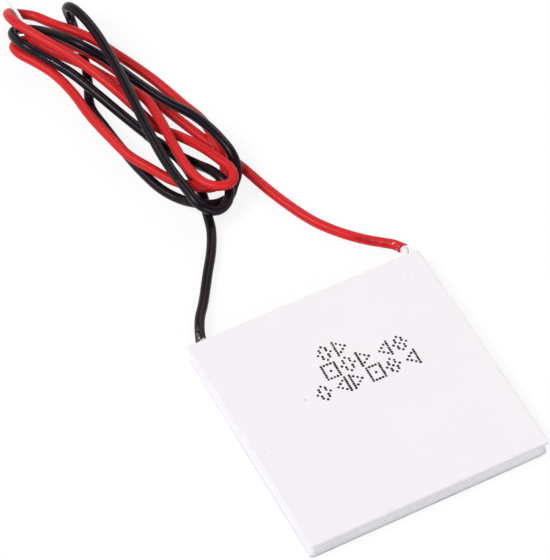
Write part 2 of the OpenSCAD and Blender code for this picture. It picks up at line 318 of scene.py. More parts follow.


# Soft covering of a lead: streaks along it, stains, rubbed spots, a little dust, and a nick's painted
# highlight and painted shade
def make_lead_finish(name, body, shade, soiled_and_shaded, pale, rough, gloss, dust_share):
    material, tree, shader = new_material(name)
    lines = use_group(tree, STREAKS, Along=60.0, Round=3.6)
    wear = put(tree, "ShaderNodeAttribute", attribute_name="wear").outputs["Fac"]
    soil_and_shade = put(tree, "ShaderNodeAttribute", attribute_name="soil_and_shade").outputs["Fac"]
    base = blend_colours(tree, spread(tree, lines.outputs["Streak"], 0.32, 0.68, 0.0, 1.0),
                         (*shade, 1), (*body, 1))
    # Stains, and the nick's painted shade in its pit
    stain_and_shade = spread(tree, maths(tree, "MULTIPLY", soil_and_shade, lines.outputs["Pebble"]), 0.2, 0.5, 0.0, 1.0)
    base = blend_colours(tree, stain_and_shade, base, (*soiled_and_shaded, 1))
    dust = use_group(tree, DUST, Scale=1900.0, Dot_Size=0.16, Share=dust_share)
    # Rubbed spots, and the nick's painted highlight on its rim
    rubbed_and_glint = spread(tree, maths(tree, "MULTIPLY", wear, lines.outputs["Pebble"]), 0.28, 0.5, 0.0, 1.0)
    worn_and_glint = maths(tree, "MAXIMUM", rubbed_and_glint, maths(tree, "MULTIPLY", dust.outputs["Mask"], 0.4))
    colour = blend_colours(tree, worn_and_glint, base, (*pale, 1))
    roughness = spread(tree, lines.outputs["Pebble"], 0.3, 0.7, rough - 0.06, rough + 0.06)
    feed(tree, shader, Base_Color=colour, Roughness=roughness, Specular_IOR_Level=gloss)
    relief = maths(tree, "ADD", maths(tree, "MULTIPLY", lines.outputs["Streak"], 0.25),
                   maths(tree, "MULTIPLY", lines.outputs["Pebble"], 0.3))
    bump(tree, shader, relief, 0.008 * MM)
    return material


CERAMIC = make_ceramic()
SEALANT = make_sealant("white_sealant", SEALANT_LIGHT, SEALANT_DARK, 0.0)
EXIT_SEALANT = make_sealant("bright_sealant", (0.97, 0.94, 0.96), (0.93, 0.9, 0.925), 0.8)
COPPER = grained("copper_sheet", (0.78, 0.42, 0.25), (0.6, 0.3, 0.17), 0.32,
                 grain=3000.0, patch=220.0, depth=0.003, metal=1.0)[0]
P_INGOT = grained("dark_ingot", (0.2, 0.2, 0.21), (0.12, 0.12, 0.13), 0.42,
                  grain=3600.0, patch=500.0, depth=0.008, metal=0.8)[0]
N_INGOT = grained("grey_ingot", (0.3, 0.31, 0.34), (0.19, 0.2, 0.22), 0.4,
                  grain=3600.0, patch=500.0, depth=0.008, metal=0.8)[0]
SOLDER = grained("dull_solder", (0.7, 0.71, 0.72), (0.55, 0.56, 0.58), 0.38,
                 grain=2600.0, patch=700.0, depth=0.01, metal=1.0)[0]
TINNED = grained("tinned_strands", (0.93, 0.93, 0.93), (0.84, 0.84, 0.85), 0.35,
                 grain=5200.0, patch=900.0, depth=0.006, metal=1.0)[0]
RED_COVER = make_lead_finish(
    "red_covering", body=(0.79, 0.02, 0.024), shade=(0.48, 0.008, 0.01),
    soiled_and_shaded=(0.33, 0.002, 0.003), pale=(0.95, 0.6, 0.5), rough=0.43, gloss=0.2, dust_share=0.006)
BLACK_COVER = make_lead_finish(
    "black_covering", body=(0.0095, 0.0055, 0.01), shade=(0.005, 0.003, 0.0055),
    soiled_and_shaded=(0.003, 0.003, 0.003), pale=(0.26, 0.25, 0.27), rough=0.28, gloss=0.17, dust_share=0.015)
BLACK_COVER.node_tree.nodes["Principled BSDF"].inputs["Specular Tint"].default_value = (1.0, 0.84, 0.93, 1)
INK = grained("dark_ink", (0.009, 0.008, 0.011), (0.004, 0.004, 0.005), 0.6, grain=9000.0, patch=700.0)[0]
SPECK = grained("grey_speck", (0.78, 0.76, 0.77), (0.68, 0.66, 0.67), 0.6, grain=9000.0, patch=900.0)[0]


# Camera at the photograph's viewing angle: turn, height and roll in degrees, place in millimetres
CAMERA_ANGLES = (-28.41, 53.85, -0.93)
CAMERA_AT = (-143.4, -235.7, 408.8)
SENSOR_WIDTH = 36
# Focal length and longer side of the picture, in pixels
FOCAL_PIXELS = 3270.4
LONG_SIDE_PIXELS = 560


def add_camera():
    azimuth, elevation, roll = (math.radians(a) for a in CAMERA_ANGLES)
    back = Vector((math.sin(azimuth) * math.cos(elevation),
                   -math.cos(azimuth) * math.cos(elevation), math.sin(elevation)))
    level = Vector((math.cos(azimuth), math.sin(azimuth), 0))
    upright = back.cross(level)
    right = level * math.cos(roll) - upright * math.sin(roll)
    up = level * math.sin(roll) + upright * math.cos(roll)
    data = bpy.data.cameras.new("photo_camera")
    data.lens = SENSOR_WIDTH * FOCAL_PIXELS / LONG_SIDE_PIXELS
    data.sensor_width = SENSOR_WIDTH
    data.clip_start = 0.01
    data.clip_end = 20
    camera = bpy.data.objects.new("photo_camera", data)
    turn = Matrix((right, up, back)).transposed().to_4x4()
    camera.matrix_world = Matrix.Translation(Vector(CAMERA_AT) * MM) @ turn
    bpy.context.collection.objects.link(camera)
    bpy.context.scene.camera = camera


def finish_mesh(name, mesh, material):
    mesh.materials.clear()
    mesh.materials.append(material)
    mesh.shade_smooth()
    piece = bpy.data.objects.new(name, mesh)
    bpy.context.collection.objects.link(piece)
    return piece


def close_mesh(name, mesh, material):
    """Makes a piece of an edit mesh, with its faces outward."""
    bmesh.ops.recalc_face_normals(mesh, faces=mesh.faces[:])
    data = bpy.data.meshes.new(name)
    mesh.to_mesh(data)
    mesh.free()
    return finish_mesh(name, data, material)


def skin_rows(mesh, rows, closed):
    """Joins rows of points by faces, and caps them or joins last to first."""
    count = len(rows[0])
    pairs = list(zip(rows, rows[1:]))
    if closed:
        pairs.append((rows[-1], rows[0]))
    for a, b in pairs:
        for k in range(count):
            j = (k + 1) % count
            mesh.faces.new((a[k], a[j], b[j], b[k]))
    if not closed:
        mesh.faces.new(list(reversed(rows[0])))
        mesh.faces.new(rows[-1])


# Smooth line through the route points, in millimetres
def lead_line(route):
    points = [Vector((x, PLATE_HALF + y, level * LIFT)) for x, y, level in route]
    chords = [b - a for a, b in zip(points, points[1:])]
    ways = [chords[0].normalized()]
    for a, b in zip(chords, chords[1:]):
        ways.append((a.normalized() * b.length + b.normalized() * a.length) / (a.length + b.length))
    ways.append(chords[-1].normalized())
    line = []
    for i, chord in enumerate(chords):
        count = max(4, round(chord.length / 0.12))
        for k in range(count):
            t = k / count
            h = chord.length
            line.append(points[i] * (2 * t ** 3 - 3 * t ** 2 + 1) + ways[i] * h * (t ** 3 - 2 * t ** 2 + t)
                        + points[i + 1] * (3 * t ** 2 - 2 * t ** 3) + ways[i + 1] * h * (t ** 3 - t ** 2))
    line.append(points[-1])
    return line


def along_line(line, fine_length, fine_step, step):
    """Points at a fine step near the module and a longer one beyond, eased a little."""
    picked = [line[0]]
    done = 0.0
    since = 0.0
    for a, b in zip(line, line[1:]):
        done += (b - a).length
        since += (b - a).length
        if since >= (fine_step if done < fine_length else step):
            picked.append(b)
            since = 0.0
    if (line[-1] - picked[-1]).length > 0.3 * step:
        picked.append(line[-1])
    else:
        picked[-1] = line[-1]
    for _ in range(3):
        eased = [(a + 2 * b + c) / 4 for a, b, c in zip(picked, picked[1:], picked[2:])]
        picked = [picked[0]] + eased + [picked[-1]]
    return picked


def line_lengths(line):
    lengths = [0.0]
    for a, b in zip(line, line[1:]):
        lengths.append(lengths[-1] + (b - a).length)
    return lengths


def line_frames(line):
    """Forward, side-up and cross vectors that turn as little as they can."""
    frames = []
    up = Vector((0, 0, 1))
    for i in range(len(line)):
        forward = (line[min(i + 1, len(line) - 1)] - line[max(i - 1, 0)]).normalized()
        up = (up - forward * up.dot(forward)).normalized()
        frames.append((forward, up, forward.cross(up)))
    return frames


def ease(x):
    x = min(1.0, max(0.0, x))
    return x * x * (3 - 2 * x)


def angle_gap(angle, other):
    return (angle - other + math.pi) % (2 * math.pi) - math.pi


# Torn ends at the module: how far the covering is cut back there, or drawn out, by angle from the top
def red_tear(angle):
    spike = 0.28 * math.exp(-((angle_gap(angle, 0.0) - 1.0) / 0.3) ** 2)
    slant = -0.08 - 0.22 * math.sin(angle + 0.56)
    return slant - spike + 0.04 * math.sin(5 * angle) + 0.03 * math.sin(11 * angle)


def black_tear(angle):
    upper = max(0.0, math.cos(angle)) ** 2
    slant = -0.34 + 0.6 * math.sin(angle) - 0.3 * upper - 0.65 * max(0.0, -math.sin(angle)) ** 3
    return slant + 0.05 * math.sin(6 * angle + 1.0) + 0.03 * math.sin(11 * angle)


# Nick in the red covering, with a painted highlight on one side of its rim and painted shade in its pit:
# place along the lead, angle from the top, reach
RED_NICK = (1.15, -0.65, 0.36)
# Spots on a covering: place along the lead, angle from the top, reach along and round, strength
RED_WEAR = [(0.45, -1.3, 0.35, 0.35, 0.8)]
RED_SOIL = [(5.6, -0.75, 3.8, 0.8, 0.95), (2.8, -0.95, 1.1, 0.6, 0.9), (231.0, -0.4, 4.0, 0.7, 0.5)]
BLACK_WEAR = [(0.5, -0.42, 2.4, 0.6, 0.85), (63.2, -0.4, 2.6, 0.35, 0.85),
              (68.5, -0.6, 1.2, 0.5, 0.55), (59.6, 0.2, 1.6, 0.5, 0.6)]
# Unevenness of a covering: lumps as a share of its radius, creases in tight bends in millimetres
LUMP_SHARE = 0.012
CREASE_DEPTH = 0.022
CREASE_PACE = 8.5


def spot_share(spots, s, angle):
    share = 0.0
    for at, turn, reach, width, strength in spots:
        gap = angle_gap(angle, turn)
        share = max(share, strength * max(0.0, 1 - ((s - at) / reach) ** 2 - (gap / width) ** 2))
    return share


def nick_shape(nick, s, angle):
    """Rise, painted-highlight share and painted-shade share at a point of the covering: a raised rim, pale
    on one side as a painted highlight, round a pit darkened with painted shade.
    """
    at, turn, reach = nick
    gap = angle_gap(angle, turn) * LEAD_R
    far = math.hypot(s - at, gap) / reach
    if far >= 1.6:
        return 0.0, 0.0, 0.0
    rise = 0.07 * math.exp(-((far - 0.85) / 0.25) ** 2) - 0.16 * math.exp(-(far / 0.5) ** 2)
    rubbed_and_glint = 1.6 * ease((s - at + gap) / reach) * math.exp(-((far - 0.8) / 0.32) ** 2)
    return rise, rubbed_and_glint, 1.4 * math.exp(-(far / 0.45) ** 2)


# Covering of a lead: a tube along its line, torn at the module and cut square at the far end
def build_lead(name, line, tear, wear_spots, soil_spots, nick, material):
    sides = 32
    lengths = line_lengths(line)
    frames = line_frames(line)
    total = lengths[-1]
    mesh = bmesh.new()
    uv_layer = mesh.loops.layers.uv.new("lead_uv")
    wear_layer = mesh.verts.layers.float.new("wear")
    soil_and_shade_layer = mesh.verts.layers.float.new("soil_and_shade")
    angles = [2 * math.pi * k / sides for k in range(sides)]
    rings = []

    def ring(index, radius, lump=False):
        centre = line[index]
        s = lengths[index]
        forward, up, cross = frames[index]
        before, after = frames[max(index - 3, 0)][0], frames[min(index + 3, len(frames) - 1)][0]
        bend = after - before
        span = lengths[min(index + 3, len(line) - 1)] - lengths[max(index - 3, 0)]
        curl = bend.length / max(span, 0.01)
        made = []
        for angle in angles:
            out = up * math.cos(angle) + cross * math.sin(angle)
            r = radius
            worn_and_glint = 0.0
            soiled_and_shaded = 0.0
            if lump:
                r *= 1 + LUMP_SHARE * noise.noise(centre * 0.45 + out * 0.5)
                inward = out.dot(bend.normalized()) if bend.length > 1e-6 else 0.0
                crease = ease((curl - 0.16) / 0.2) * ease((inward - 0.1) / 0.8)
                r -= CREASE_DEPTH * crease * (0.5 + 0.5 * math.sin(s * CREASE_PACE))
                worn_and_glint = spot_share(wear_spots, s, angle)
                soiled_and_shaded = spot_share(soil_spots, s, angle)
                # The nick paints a highlight on one side of its rim and shade in its pit
                if nick:
                    rise, rubbed_and_glint, dark = nick_shape(nick, s, angle)
                    r += rise
                    worn_and_glint = max(worn_and_glint, rubbed_and_glint)
                    soiled_and_shaded = max(soiled_and_shaded, dark)
            slide = 0.0
            if s < TEAR_REACH:
                slide = tear(angle) * (1 - s / TEAR_REACH) ** 2
                r *= 1 + 0.05 * (1 - s / TEAR_REACH) ** 3
            vert = mesh.verts.new((centre + forward * slide + out * r) * MM)
            vert[wear_layer] = worn_and_glint
            vert[soil_and_shade_layer] = soiled_and_shaded
            made.append(vert)
        return made

    # Bore at the module end, outside, then the square cut far end
    deep = next(i for i, s in enumerate(lengths) if s > BORE_DEPTH)
    rings.append(ring(deep, BORE_R))
    rings.append(ring(0, MOUTH_R))
    rings.append(ring(0, LEAD_R - 0.04))
    for i in range(len(line)):
        rings.append(ring(i, LEAD_R, lump=True))
    last = len(line) - 1
    rings.append(ring(last, LEAD_R - 0.06))
    rings.append(ring(last, BORE_R))
    rings.append(ring(last - 1, BORE_R))
    stations = [lengths[deep], 0, 0] + lengths + [total, total, lengths[last - 1]]
    for i in range(len(rings) - 1):
        for k in range(sides):
            j = (k + 1) % sides
            face = mesh.faces.new((rings[i][k], rings[i][j], rings[i + 1][j], rings[i + 1][k]))
            spots = ((i, k), (i, k + 1), (i + 1, k + 1), (i + 1, k))
            for loop, (row, column) in zip(face.loops, spots):
                loop[uv_layer].uv = (stations[row] * MM, column / sides)
    mesh.faces.new(list(reversed(rings[0])))
    mesh.faces.new(rings[-1])
    return close_mesh(name, mesh, material)


def new_geometry_tree(name, inputs):
    tree = bpy.data.node_groups.new(name, "GeometryNodeTree")
    tree.is_modifier = True
    tree.interface.new_socket("Geometry", in_out="INPUT", socket_type="NodeSocketGeometry")
    for label, kind in inputs:
        tree.interface.new_socket(label, in_out="INPUT", socket_type=kind)
    tree.interface.new_socket("Geometry", in_out="OUTPUT", socket_type="NodeSocketGeometry")
    return tree, tree.nodes.new("NodeGroupInput"), tree.nodes.new("NodeGroupOutput")


def end_geometry_tree(tree, geometry, finish, end):
    """Makes the copies real, gives them their finish and puts them out."""
    whole = feed(tree, put(tree, "GeometryNodeRealizeInstances"), Geometry=geometry)
    dressed = feed(tree, put(tree, "GeometryNodeSetMaterial"), Geometry=whole.outputs[0], Material=finish)
    tree.links.new(dressed.outputs[0], end.inputs[0])


# Twisted strands, made by nodes: six round one, along +Y from a start point
def make_strand_tree():
    tree, start, end = new_geometry_tree("twisted_strands", [
        ("Length", "NodeSocketFloat"), ("Turns", "NodeSocketFloat"),
        ("Strand Radius", "NodeSocketFloat"), ("Lay Radius", "NodeSocketFloat"),
        ("Start", "NodeSocketVector"), ("Finish", "NodeSocketMaterial")])
    helix = feed(tree, put(tree, "GeometryNodeCurveSpiral"), Resolution=40,
                 Rotations=start.outputs["Turns"], Start_Radius=start.outputs["Lay Radius"],
                 End_Radius=start.outputs["Lay Radius"], Height=start.outputs["Length"])
    section = feed(tree, put(tree, "GeometryNodeCurvePrimitiveCircle"), Resolution=10,
                   Radius=start.outputs["Strand Radius"])
    strand = feed(tree, put(tree, "GeometryNodeCurveToMesh"), Curve=helix.outputs[0],
                  Profile_Curve=section.outputs[0], Fill_Caps=True)
    spots = feed(tree, put(tree, "GeometryNodePoints"), Count=6)
    number = put(tree, "GeometryNodeInputIndex").outputs[0]
    turned = feed(tree, put(tree, "ShaderNodeCombineXYZ"), Z=maths(tree, "MULTIPLY", number, math.pi / 3))
    copies = feed(tree, put(tree, "GeometryNodeInstanceOnPoints"), Points=spots.outputs[0],
                  Instance=strand.outputs[0], Rotation=turned.outputs[0])
    far = feed(tree, put(tree, "ShaderNodeCombineXYZ"), Z=start.outputs["Length"])
    middle = feed(tree, put(tree, "GeometryNodeCurvePrimitiveLine"), End=far.outputs[0])
    heart = feed(tree, put(tree, "GeometryNodeCurveToMesh"), Curve=middle.outputs[0],
                 Profile_Curve=section.outputs[0], Fill_Caps=True)
    both = put(tree, "GeometryNodeJoinGeometry")
    tree.links.new(copies.outputs[0], both.inputs[0])
    tree.links.new(heart.outputs[0], both.inputs[0])
    laid = feed(tree, put(tree, "GeometryNodeTransform"), Geometry=both.outputs[0],
                Translation=start.outputs["Start"], Rotation=(-math.pi / 2, 0, 0))
    end_geometry_tree(tree, laid.outputs[0], start.outputs["Finish"], end)
    return tree


def run_nodes(name, base_points, tree, values, material):
    """Runs a geometry tree on loose points and keeps the result as a plain mesh."""
    seed_mesh = bpy.data.meshes.new(name + "_points")
    seed_mesh.from_pydata(base_points, [], [])
    carrier = bpy.data.objects.new(name + "_points", seed_mesh)
    bpy.context.collection.objects.link(carrier)
    modifier = carrier.modifiers.new("nodes", "NODES")
    modifier.node_group = tree
    sockets = {s.name: s.identifier for s in tree.interface.items_tree if s.in_out == "INPUT"}
    for label, value in values.items():
        modifier[sockets[label]] = value
    carrier.update_tag()
    graph = bpy.context.evaluated_depsgraph_get()
    made = bpy.data.meshes.new_from_object(carrier.evaluated_get(graph))
    bpy.data.objects.remove(carrier)
    made.name = name
    return finish_mesh(name, made, material)


STRAND_TREE = make_strand_tree()
# Strands of a lead, in millimetres
STRAND_R = 0.127
STRAND_LAY_R = 0.253
STRAND_PITCH = 5.5


def build_strands(name, start, length):
    return run_nodes(name, [(0, 0, 0)], STRAND_TREE, {
        "Length": length * MM, "Turns": length / STRAND_PITCH, "Strand Radius": STRAND_R * MM,
        "Lay Radius": STRAND_LAY_R * MM, "Start": [c * MM for c in start], "Finish": TINNED}, TINNED)


# Fleck of sealant on the black covering: place along, angle from the top, half length, half width
BLACK_FLECK = (-0.42, -0.28, 0.18, 0.12)
FLECK_RISE = 0.07


def add_fleck(mesh, lead, fleck):
    """Adds a small flat lump of sealant that lies on the covering near its torn end."""
    along, angle, length, width = fleck
    forward, up, cross = line_frames(lead)[0]
    out = up * math.cos(angle) + cross * math.sin(angle)
    centre = lead[0] + forward * along + out * (LEAD_R + 0.02)
    turn = Matrix((forward, forward.cross(out), out)).transposed().to_4x4()
    size = Matrix.Diagonal((length * MM, width * MM, FLECK_RISE * MM, 1))
    place = Matrix.Translation(centre * MM) @ turn @ size
    bmesh.ops.create_icosphere(mesh, subdivisions=2, radius=1.0, matrix=place)


# Lumpy dab of sealant from the rim, over the bare strands, into the torn mouth of a lead
def build_dab(name, side, lead, fleck):
    sides = 28
    mouth = lead[0]
    inside = next(p for p in lead if (p - mouth).length > 0.9)
    inward = (inside - mouth).normalized()
    lip = mouth - inward * 0.35
    outer = mouth - inward * 0.55
    rim = Vector((side * LEAD_X, 19.45, LEAD_Z + 0.05))
    edge = Vector((side * LEAD_X, 20.15, LEAD_Z + 0.05))
    # Centre, radius and how much wider it is sideways
    stops = [(rim, 0.48, 0.0), (rim.lerp(edge, 0.3), 0.54, 0.04), (rim.lerp(edge, 0.65), 0.55, 0.05),
             (edge, 0.55, 0.05), (edge.lerp(outer, 0.5), 0.56, 0.04), (outer, 0.6, 0.03),
             (lip, 0.64, 0.02), (mouth, 0.64, 0.0), (mouth.lerp(inside, 0.4), 0.56, 0.0),
             (inside, 0.44, 0.0)]
    mesh = bmesh.new()
    rings = []
    frames = line_frames([stop[0] for stop in stops])
    for (spot, radius, widen), (_, up, cross) in zip(stops, frames):
        made = []
        for k in range(sides):
            angle = 2 * math.pi * k / sides
            out = up * math.cos(angle) + cross * math.sin(angle)
            wide = radius + widen * abs(math.sin(angle))
            wide *= 1 + 0.4 * widen * noise.noise(spot * 0.9 + out * 1.6)
            place = spot + out * wide
            if place.y < PLATE_HALF + 0.05:
                place.z = min(max(place.z, PLATE_T + 0.02), UPPER_Z - 0.02)
            place.z = max(place.z, 0.05)
            made.append(mesh.verts.new(place * MM))
        rings.append(made)
    skin_rows(mesh, rings, closed=False)
    if fleck:
        add_fleck(mesh, lead, fleck)
    piece = close_mesh(name, mesh, EXIT_SEALANT)
    smooth = piece.modifiers.new("soft", "SUBSURF")
    smooth.levels = 1
    smooth.render_levels = 1
    return piece


# Outline of a square with round corners: points with their outward directions
def square_outline(half, corner, straights, rounds):
    flat = half - corner
    outline = []
    for quarter in range(4):
        spin = Matrix.Rotation(quarter * math.pi / 2, 3, "Z")
        for k in range(straights):
            point = Vector((half, -flat + 2 * flat * k / straights, 0))
            outline.append((spin @ point, spin @ Vector((1, 0, 0))))
        for k in range(rounds):
            angle = math.pi / 2 * k / rounds
            out = Vector((math.cos(angle), math.sin(angle), 0))
            outline.append((spin @ (Vector((flat, flat, 0)) + out * corner), spin @ out))
    return outline


def skin_loops(name, loops, material, closed):
    """Makes a piece from loops of points in millimetres."""
    mesh = bmesh.new()
    rows = [[mesh.verts.new(p * MM) for p in loop] for loop in loops]
    skin_rows(mesh, rows, closed)
    return close_mesh(name, mesh, material)


def paint(piece, label, values):
    """Writes one value per point, in the order in which the points were made."""
    layer = piece.data.attributes.new(label, "FLOAT", "POINT")
    for item, value in zip(layer.data, values):
        item.value = value
    return piece


# Broken front left corner of the whole stack: how far the break runs along the front and along the left
BREAK_FRONT = 0.55
BREAK_LEFT = 0.25


def break_corner(spot):
    """Moves a point of the front left corner inwards, onto the flat of the break."""
    slope = Vector((1 / BREAK_FRONT, 1 / BREAK_LEFT, 0))
    share = (spot.x + PLATE_HALF) * slope.x + (spot.y + PLATE_HALF) * slope.y
    if share >= 1:
        return spot
    return spot + slope * ((1 - share) / slope.length_squared)


# Chips in the plates' edges: place across and along, reach, depth
UPPER_CHIPS = [(-17.3, -20.0, 0.35, 0.12), (-15.9, -20.0, 0.4, 0.14), (-6.3, -20.0, 0.35, 0.06),
               (9.45, -20.0, 0.4, 0.12), (20.0, -14.2, 0.4, 0.08), (-20.0, 3.6, 0.35, 0.05),
               (19.8, 19.9, 0.5, 0.1)]
LOWER_CHIPS = [(20.0, -20.0, 1.1, 0.14), (7.2, -20.0, 0.35, 0.1), (3.3, 20.0, 0.3, 0.06),
               (-20.0, 20.0, 0.7, 0.15)]
PLATE_STRAIGHTS = 240
PLATE_ROUNDS = 8


# Plate with softened, slightly uneven edges, the upper one softer in front
def build_plate(name, z0, z1, low, high, chips, phase):
    middle = (z0 + z1) / 2
    # Inset, height, shares of the upper edge's width to move in and down, share of the sealed side
    profile = [(0.6, z0, 0, 0, 0), (0.32, z0, 0, 0, 0), (low, z0, 0, 0, 0),
               (0.3 * low, z0 + 0.3 * low, 0, 0, 1), (0, z0 + low, 0, 0, 1), (0, middle, 0, 0, 1),
               (0, z1, 0, 1, 1), (0, z1, 0.3, 0.3, 0.6), (0, z1, 1, 0, 0),
               (0.32, z1, 0, 0, 0), (0.6, z1, 0, 0, 0)]
    loops = []
    sealed = []
    for inset, level, inwards, down, share in profile:
        loop = []
        corner = max(PLATE_CORNER - inset, 0.06)
        for point, out in square_outline(PLATE_HALF - inset, corner, PLATE_STRAIGHTS, PLATE_ROUNDS):
            edge = high * (1 + 0.9 * max(0.0, -out.y))
            z = level - down * edge
            depth = inwards * edge
            if inset < 0.2:
                rough = noise.noise(point * 0.9 + Vector((phase, 0, z * 0.8)))
                fine = noise.noise(point * 3.7 + Vector((0, phase, z * 3)))
                depth += 0.008 + 0.006 * rough + 0.004 * fine
                for x, y, reach, bite in chips:
                    far = math.hypot(point.x - x, point.y - y) / reach
                    if far < 1 and (z > middle or reach > 0.6):
                        depth += bite * (1 - far * far)
            spot = break_corner(point - out * depth)
            loop.append(Vector((spot.x, spot.y, z)))
            sealed.append(share)
        loops.append(loop)
    return paint(skin_loops(name, loops, CERAMIC, closed=False), "side", sealed)


# How far the bead of sealant is drawn in at each corner, by the signs of x and y, and where that starts
CORNER_DRAW = {(-1, -1): -0.27, (1, -1): 0.72, (1, 1): 0.42, (-1, 1): 0.34}
CORNER_FROM = 18.5
CORNER_REACH = 1.1
# Pits in the bead's front, darkened with painted shade: across, height, reach, depth
BEAD_PITS = [(-15.0, 1.07, 0.22, 0.12), (-7.6, 1.28, 0.26, 0.16), (-7.2, 1.62, 0.15, 0.08),
             (-3.85, 1.96, 0.24, 0.15), (-17.4, 1.3, 0.3, 0.05), (7.3, 0.92, 0.3, 0.12),
             (13.4, 1.7, 0.2, 0.05)]
BEAD_SWELL = 0.265
BEAD_STRAIGHTS = 320
BEAD_ROUNDS = 12
BEAD_ROWS = 16


# Bead of sealant between the plates, nearly flush along the sides and drawn in at three corners
def build_bead():
    outline = square_outline(SEAL_HALF, SEAL_CORNER, BEAD_STRAIGHTS, BEAD_ROUNDS)
    inner = square_outline(SEAL_INNER, 0.1, BEAD_STRAIGHTS, BEAD_ROUNDS)
    gap = UPPER_Z - PLATE_T
    loops = []
    soiled_and_shaded = []
    for row in range(BEAD_ROWS + 1):
        share = row / BEAD_ROWS
        z = PLATE_T + gap * share
        loop = []
        for point, out in outline:
            corner = ease((min(abs(point.x), abs(point.y)) - CORNER_FROM) / CORNER_REACH)
            draw = CORNER_DRAW[(1 if point.x > 0 else -1, 1 if point.y > 0 else -1)]
            if draw > 0.5:
                draw = draw * share - 0.2 * (1 - share)
            swell = BEAD_SWELL + 0.01 * noise.noise(point * 0.16) + 0.008 * noise.noise(point * 0.7)
            swell += 0.008 * noise.noise(point * 1.9 + Vector((0, 0, 3 * share)))
            push = swell * (1 - corner) - draw * corner
            soil_and_shade = 0.0
            if point.y < 0 and out.y < -0.9:
                for x, height, reach, depth in BEAD_PITS:
                    pit = math.exp(-((point.x - x) ** 2 + (z - height) ** 2) / (0.4 * reach ** 2))
                    push -= depth * pit
                    # Painted shade in the pit
                    soil_and_shade = max(soil_and_shade, 4.0 * depth * pit)
            spot = break_corner(point + out * push)
            loop.append(Vector((spot.x, spot.y, z)))
            soiled_and_shaded.append(min(soil_and_shade, 1.0))
        loops.append(loop)
    for z in (UPPER_Z, PLATE_T):
        loops.append([Vector((point.x, point.y, z)) for point, _ in inner])
    return paint(skin_loops("rim_bead", loops, SEALANT, closed=True), "soil_and_shade", soiled_and_shaded)


# Dots on a surface, made by nodes: flat drops on given points with a little drift
def make_dot_tree():
    tree, start, end = new_geometry_tree("printed_dots", [
        ("Dot Radius", "NodeSocketFloat"), ("Drift", "NodeSocketFloat"), ("Rise", "NodeSocketFloat"),
        ("Seed", "NodeSocketInt"), ("Finish", "NodeSocketMaterial")])
    drift = put(tree, "FunctionNodeRandomValue", data_type="FLOAT_VECTOR")
    feed(tree, drift, in0=(-1.0, -1.0, 0.0), in1=(1.0, 1.0, 0.0), Seed=start.outputs["Seed"])
    offset = put(tree, "ShaderNodeVectorMath", operation="SCALE")
    feed(tree, offset, in0=drift.outputs[0], Scale=start.outputs["Drift"])
    moved = feed(tree, put(tree, "GeometryNodeSetPosition"), Geometry=start.outputs["Geometry"],
                 Offset=offset.outputs[0])
    drop = feed(tree, put(tree, "GeometryNodeMeshCone"), Vertices=14, Side_Segments=1, Fill_Segments=1,
                Radius_Top=maths(tree, "MULTIPLY", start.outputs["Dot Radius"], 0.8),
                Radius_Bottom=start.outputs["Dot Radius"], Depth=start.outputs["Rise"])
    size = put(tree, "FunctionNodeRandomValue", data_type="FLOAT")
    feed(tree, size, in2=0.86, in3=1.1, Seed=start.outputs["Seed"])
    dots = feed(tree, put(tree, "GeometryNodeInstanceOnPoints"), Points=moved.outputs[0],
                Instance=drop.outputs[0], Scale=size.outputs[1])
    end_geometry_tree(tree, dots.outputs[0], start.outputs["Finish"], end)
    return tree


# Plain shapes of dots for the mark on the upper plate, then its rows: start across, place along, shapes
RHOMB = ["..o..", ".o.o.", ".o.o.", "o...o", ".o.o.", ".o.o.", "..o.."]
DOTTED_RHOMB = ["..o..", ".o.o.", ".o.o.", "o.o.o", ".o.o.", ".o.o.", "..o.."]
WEDGE = ["o....", "oo...", "o.o..", "o..o.", "o.o..", "oo...", "o...."]
NOTCH = ["....o", "...oo", "..o.o", ".o..o", "..o.o", "...oo", "....o"]
PANE = ["ooooo", "o...o", "o...o", "o.o.o", "o...o", "o...o", "ooooo"]
MARK_ROWS = [
    (-2.2, 9.3, [RHOMB, WEDGE]),
    (-2.8, 6.05, [PANE, RHOMB, WEDGE, NOTCH, DOTTED_RHOMB]),
    (-5.6, 2.95, [RHOMB, NOTCH, WEDGE, PANE, DOTTED_RHOMB, NOTCH]),
]
MARK_STEP = 2.92
DOT_ACROSS = 0.53
DOT_ALONG = 0.42
MARK_TURN = math.radians(-1.4)
MARK_Z = TOP_Z + 0.004


def mark_points():
    points = []
    for first_x, row_y, shapes in MARK_ROWS:
        for place, shape in enumerate(shapes):
            for line, dots in enumerate(shape):
                for column, dot in enumerate(dots):
                    if dot == "o":
                        across = place * MARK_STEP + (column - 2) * DOT_ACROSS
                        spot = Matrix.Rotation(MARK_TURN, 2) @ Vector((across, (3 - line) * DOT_ALONG))
                        points.append(((first_x + spot.x) * MM, (row_y + spot.y) * MM, MARK_Z * MM))
    return points


add_camera()

# Leads first, then what sits on them
FINE_LENGTH = 5.0
FINE_STEP = 0.12
LEAD_STEP = 0.36
INSIDE = Vector((0, 0.25, 0))
red_line = along_line(lead_line(RED_ROUTE), FINE_LENGTH, FINE_STEP, LEAD_STEP)
black_line = along_line(lead_line(BLACK_ROUTE), FINE_LENGTH, FINE_STEP, LEAD_STEP)
red_lead = build_lead("red_lead_covering", red_line, red_tear, RED_WEAR, RED_SOIL, RED_NICK, RED_COVER)
black_lead = build_lead("black_lead_covering", black_line, black_tear, BLACK_WEAR, [], None, BLACK_COVER)

red_tip = build_strands("red_tip_strands", red_line[-1] - INSIDE, RED_TIP + INSIDE.y)
black_tip = build_strands("black_tip_strands", black_line[-1] - INSIDE, BLACK_TIP + INSIDE.y)
stripped_length = STRIPPED_TO - STRIPPED_FROM
red_strands = build_strands("red_stripped_strands", (LEAD_X, STRIPPED_FROM, LEAD_Z), stripped_length)
black_strands = build_strands("black_stripped_strands", (-LEAD_X, STRIPPED_FROM, LEAD_Z), stripped_length)
red_dab = build_dab("red_exit_dab", 1, red_line, None)
black_dab = build_dab("black_exit_dab", -1, black_line, BLACK_FLECK)

